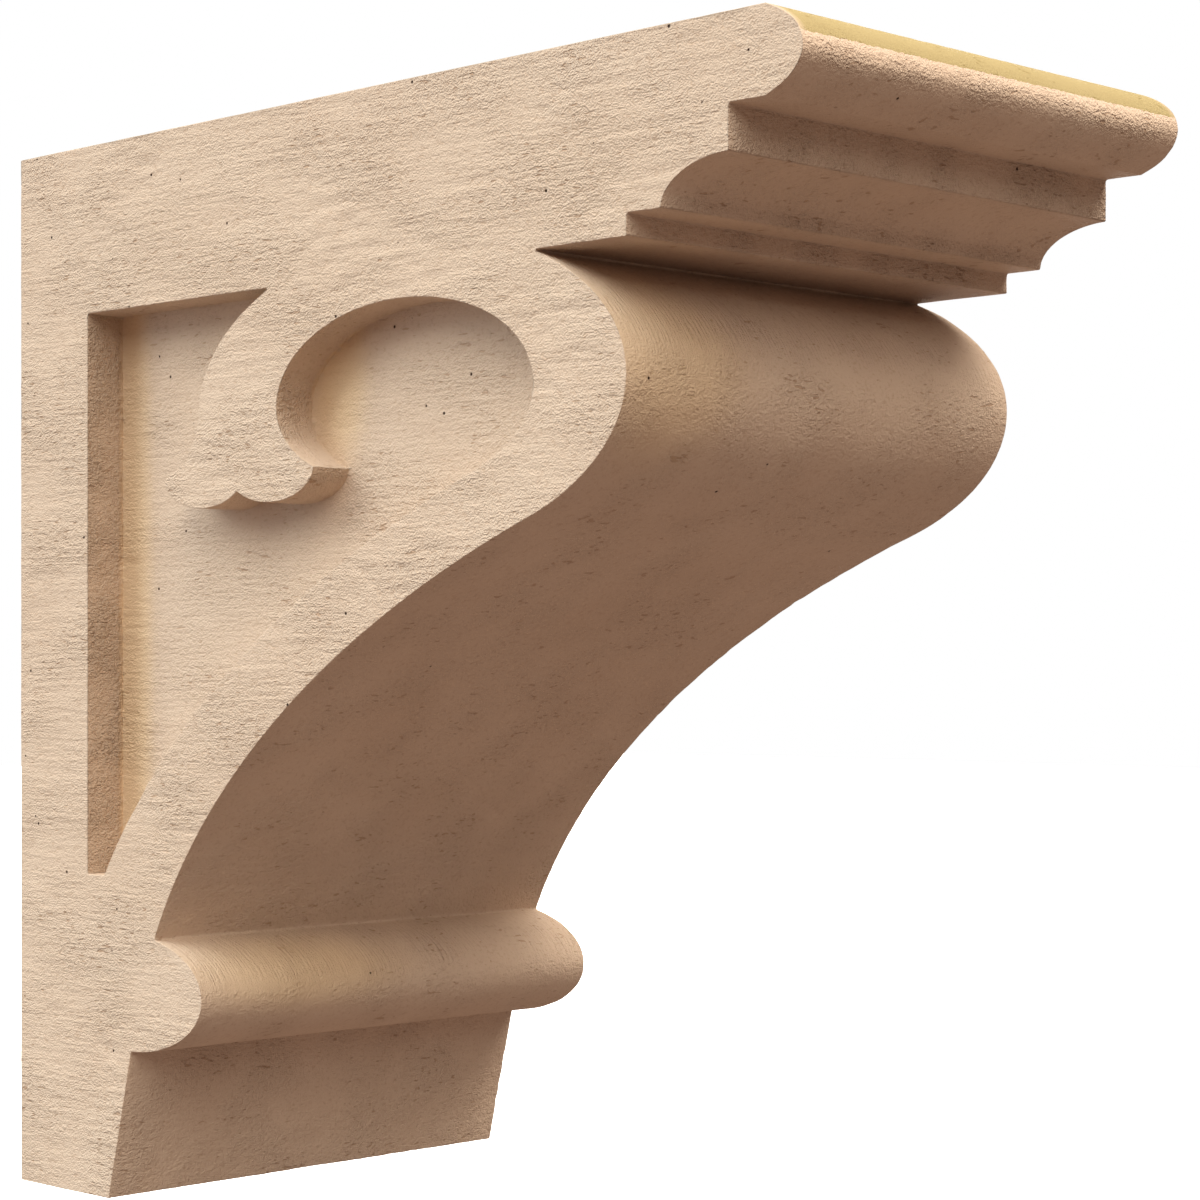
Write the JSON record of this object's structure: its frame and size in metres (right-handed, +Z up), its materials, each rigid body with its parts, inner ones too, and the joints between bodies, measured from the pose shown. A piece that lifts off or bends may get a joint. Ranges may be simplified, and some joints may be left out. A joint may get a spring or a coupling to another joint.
{
  "type": "corbel",
  "caption": "Cast bracket with a stepped crown, an overhanging roll, a hollow arch and a raised scroll in a sunk panel on each side.",
  "frame": {"origin": "centre of the flat back face that lies against the wall", "axes": "+Z up; +Y out of the back face, into the wall, so the corbel reaches out along -Y; X across its front"},
  "size_m": [0.1524, 0.3048, 0.3048],
  "materials": {
    "sawn_urethane": "pale tan, matt, cast with the grain of rough-sawn timber"
  },
  "bodies": {
    "root": {"corbel": "sawn_urethane"}
  },
  "joints": []
}
